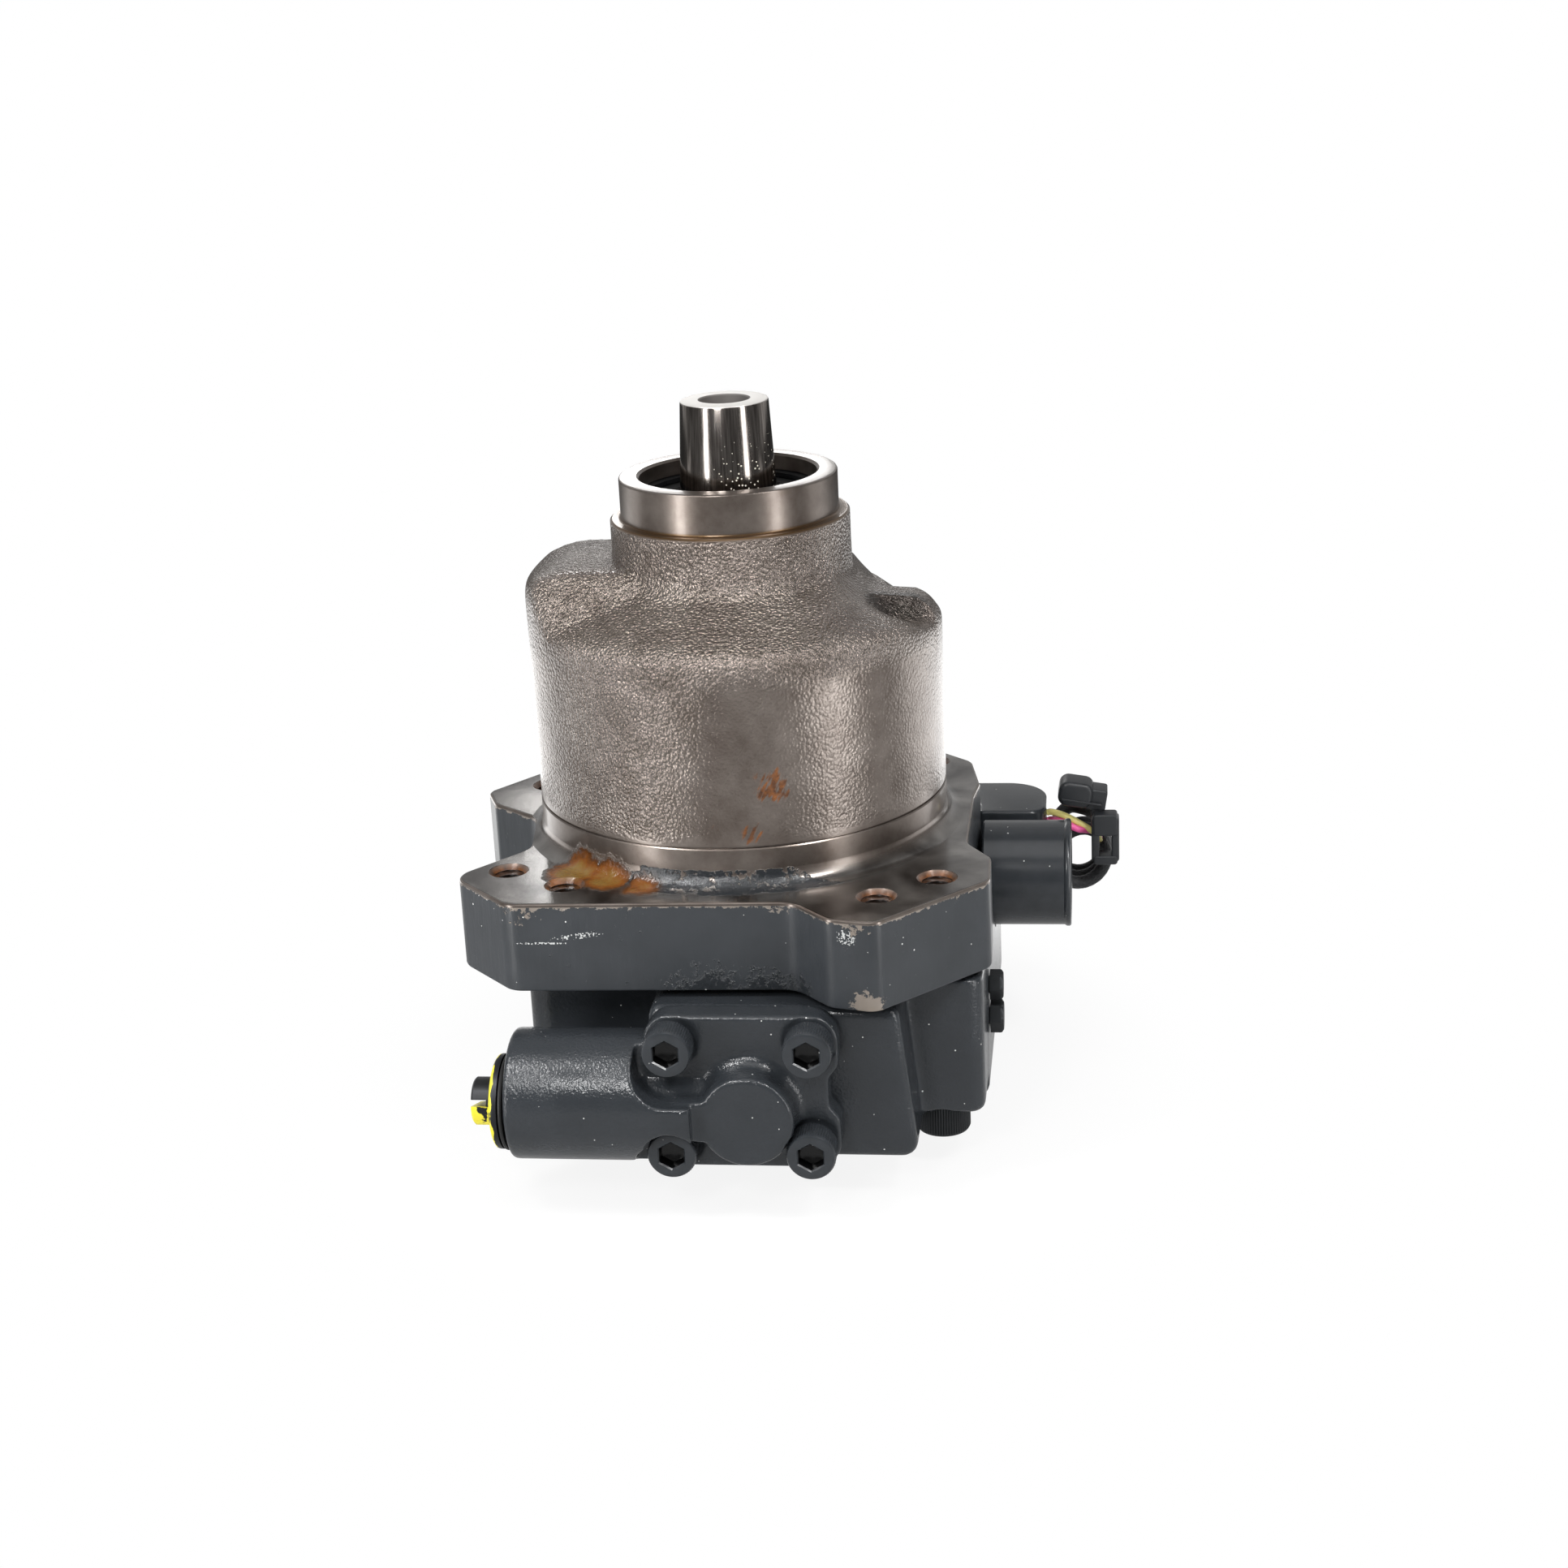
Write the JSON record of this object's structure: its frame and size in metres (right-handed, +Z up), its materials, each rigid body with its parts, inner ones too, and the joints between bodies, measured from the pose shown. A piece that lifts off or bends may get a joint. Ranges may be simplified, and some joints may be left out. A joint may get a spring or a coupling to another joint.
{
  "type": "axial piston pump",
  "caption": "Swash-plate axial piston pump: tapered shaft in a round case, mid flange with tapped holes, ported base block, bolted control valve and a wired solenoid.",
  "frame": {"origin": "centre of the round pad under the port block, on the shaft's axis", "axes": "+Z up the shaft towards its free end; -Y faces the control housing; +X points to the solenoid"},
  "size_m": [0.2257, 0.2003, 0.245],
  "materials": {
    "cast_iron": "bare, part machined and part as cast",
    "grey_paint": "semi-gloss dark grey",
    "steel": "ground",
    "black_steel": "black oxide",
    "bronze": "lapped bronze",
    "rubber": "matt",
    "gasket_paper": "pressed fibre sheet",
    "black_plastic": "moulded",
    "braid": "woven sleeve",
    "yellow_wire": "wire insulation",
    "pink_wire": "wire insulation"
  },
  "bodies": {
    "case": {"main_housing": "cast_iron", "port_block": "grey_paint", "housing_gasket": "gasket_paper", "main_bolt_1": "black_steel", "main_bolt_2": "black_steel", "main_bolt_3": "black_steel", "main_bolt_4": "black_steel", "shaft_seal": "rubber", "seal_retaining_ring": "black_steel", "front_bearing_cup": "steel", "rear_bearing_cup": "steel", "cradle_shell_left": "bronze", "cradle_shell_right": "bronze", "valve_plate": "bronze", "control_housing": "grey_paint", "control_screw_1": "black_steel", "control_screw_2": "black_steel", "control_screw_3": "black_steel", "control_screw_4": "black_steel", "adjuster_seal_ring": "rubber", "adjuster_lock_nut": "black_steel", "side_plug_upper": "black_steel", "side_plug_lower": "black_steel", "drain_plug": "black_steel", "solenoid_can": "grey_paint", "terminal_box": "grey_paint", "harness_sleeve": "braid", "lead_yellow": "yellow_wire", "lead_pink": "pink_wire", "connector_body": "black_plastic", "connector_latch": "black_plastic", "bias_spring": "steel", "spool_spring": "steel"},
    "rotor": {"drive_shaft": "steel", "cylinder_block": "steel", "block_spring": "steel", "ball_guide": "steel", "front_bearing_cone": "steel", "rear_bearing_cone": "steel"},
    "retainer": {"retainer_plate": "steel"},
    "swash": {"swash_plate": "steel"},
    "servo": {"servo_piston": "steel"},
    "bias": {"bias_piston": "steel"},
    "spool": {"control_spool": "steel"},
    "adjuster": {"adjusting_screw": "black_steel"},
    "plunger": {"solenoid_plunger": "steel"},
    "slipper_1": {"slipper_1": "bronze"},
    "piston_1": {"piston_1": "steel"},
    "slipper_2": {"slipper_2": "bronze"},
    "piston_2": {"piston_2": "steel"},
    "slipper_3": {"slipper_3": "bronze"},
    "piston_3": {"piston_3": "steel"},
    "slipper_4": {"slipper_4": "bronze"},
    "piston_4": {"piston_4": "steel"},
    "slipper_5": {"slipper_5": "bronze"},
    "piston_5": {"piston_5": "steel"},
    "slipper_6": {"slipper_6": "bronze"},
    "piston_6": {"piston_6": "steel"},
    "slipper_7": {"slipper_7": "bronze"},
    "piston_7": {"piston_7": "steel"}
  },
  "joints": [
    {"name": "shaft_spin", "type": "hinge", "parent": "case", "child": "rotor", "pos_m": [0, 0, 0.141], "axis": [0, 0, 1], "continuous": true},
    {"name": "swash_tilt", "type": "hinge", "parent": "case", "child": "swash", "pos_m": [0, 0, 0.141], "axis": [-1, 0, 0], "range_deg": [0, 15], "stiffness_Nm_per_rad": 5, "springref_deg": -5.73},
    {"name": "servo_slide", "type": "slide", "parent": "case", "child": "servo", "axis": [0, 0, 1], "range_m": [0, 0.0141]},
    {"name": "bias_slide", "type": "slide", "parent": "case", "child": "bias", "axis": [0, 0, 1], "range_m": [-0.0141, 0], "deforming": ["bias_spring"]},
    {"name": "retainer_spin", "type": "hinge", "parent": "swash", "child": "retainer", "pos_m": [0, 0, 0.141], "axis": [0, 0, 1], "continuous": true},
    {"name": "spool_slide", "type": "slide", "parent": "case", "child": "spool", "axis": [1, 0, 0], "range_m": [-0.002, 0.002], "stiffness_N_per_m": 2000, "deforming": ["spool_spring"]},
    {"name": "adjuster_turn", "type": "hinge", "parent": "case", "child": "adjuster", "pos_m": [-0.06, -0.1, 0.0365], "axis": [1, 0, 0], "range_deg": [-180, 180]},
    {"name": "plunger_slide", "type": "slide", "parent": "case", "child": "plunger", "axis": [-1, 0, 0], "range_m": [0, 0.003], "stiffness_N_per_m": 400, "springref_m": -0.002},
    {"name": "slipper_1_turn", "type": "hinge", "parent": "retainer", "child": "slipper_1", "pos_m": [0, 0.03154, 0.141], "axis": [0, 0, 1], "continuous": true},
    {"name": "piston_1_tilt", "type": "hinge", "parent": "slipper_1", "child": "piston_1", "pos_m": [0, 0.03154, 0.141], "axis": [-1, 0, 0], "range_deg": [-15, 0]},
    {"name": "slipper_2_turn", "type": "hinge", "parent": "retainer", "child": "slipper_2", "pos_m": [-0.02466, 0.01966, 0.141], "axis": [0, 0, 1], "continuous": true},
    {"name": "piston_2_tilt", "type": "hinge", "parent": "slipper_2", "child": "piston_2", "pos_m": [-0.02466, 0.01966, 0.141], "axis": [-1, 0, 0], "range_deg": [-15, 0]},
    {"name": "slipper_3_turn", "type": "hinge", "parent": "retainer", "child": "slipper_3", "pos_m": [-0.03075, -0.00702, 0.141], "axis": [0, 0, 1], "continuous": true},
    {"name": "piston_3_tilt", "type": "hinge", "parent": "slipper_3", "child": "piston_3", "pos_m": [-0.03075, -0.00702, 0.141], "axis": [-1, 0, 0], "range_deg": [-15, 0]},
    {"name": "slipper_4_turn", "type": "hinge", "parent": "retainer", "child": "slipper_4", "pos_m": [-0.01368, -0.02841, 0.141], "axis": [0, 0, 1], "continuous": true},
    {"name": "piston_4_tilt", "type": "hinge", "parent": "slipper_4", "child": "piston_4", "pos_m": [-0.01368, -0.02841, 0.141], "axis": [-1, 0, 0], "range_deg": [-15, 0]},
    {"name": "slipper_5_turn", "type": "hinge", "parent": "retainer", "child": "slipper_5", "pos_m": [0.01368, -0.02841, 0.141], "axis": [0, 0, 1], "continuous": true},
    {"name": "piston_5_tilt", "type": "hinge", "parent": "slipper_5", "child": "piston_5", "pos_m": [0.01368, -0.02841, 0.141], "axis": [-1, 0, 0], "range_deg": [-15, 0]},
    {"name": "slipper_6_turn", "type": "hinge", "parent": "retainer", "child": "slipper_6", "pos_m": [0.03075, -0.00702, 0.141], "axis": [0, 0, 1], "continuous": true},
    {"name": "piston_6_tilt", "type": "hinge", "parent": "slipper_6", "child": "piston_6", "pos_m": [0.03075, -0.00702, 0.141], "axis": [-1, 0, 0], "range_deg": [-15, 0]},
    {"name": "slipper_7_turn", "type": "hinge", "parent": "retainer", "child": "slipper_7", "pos_m": [0.02466, 0.01966, 0.141], "axis": [0, 0, 1], "continuous": true},
    {"name": "piston_7_tilt", "type": "hinge", "parent": "slipper_7", "child": "piston_7", "pos_m": [0.02466, 0.01966, 0.141], "axis": [-1, 0, 0], "range_deg": [-15, 0]}
  ],
  "couplings": [
    {"joint": "servo_slide", "follows": "swash_tilt", "m_per_rad": 0.053733},
    {"joint": "bias_slide", "follows": "swash_tilt", "m_per_rad": -0.053733},
    {"joint": "retainer_spin", "follows": "shaft_spin", "ratio": 1},
    {"joint": "slipper_1_turn", "follows": "shaft_spin", "ratio": -1},
    {"joint": "piston_1_tilt", "follows": "swash_tilt", "ratio": -1},
    {"joint": "slipper_2_turn", "follows": "shaft_spin", "ratio": -1},
    {"joint": "piston_2_tilt", "follows": "swash_tilt", "ratio": -1},
    {"joint": "slipper_3_turn", "follows": "shaft_spin", "ratio": -1},
    {"joint": "piston_3_tilt", "follows": "swash_tilt", "ratio": -1},
    {"joint": "slipper_4_turn", "follows": "shaft_spin", "ratio": -1},
    {"joint": "piston_4_tilt", "follows": "swash_tilt", "ratio": -1},
    {"joint": "slipper_5_turn", "follows": "shaft_spin", "ratio": -1},
    {"joint": "piston_5_tilt", "follows": "swash_tilt", "ratio": -1},
    {"joint": "slipper_6_turn", "follows": "shaft_spin", "ratio": -1},
    {"joint": "piston_6_tilt", "follows": "swash_tilt", "ratio": -1},
    {"joint": "slipper_7_turn", "follows": "shaft_spin", "ratio": -1},
    {"joint": "piston_7_tilt", "follows": "swash_tilt", "ratio": -1}
  ]
}
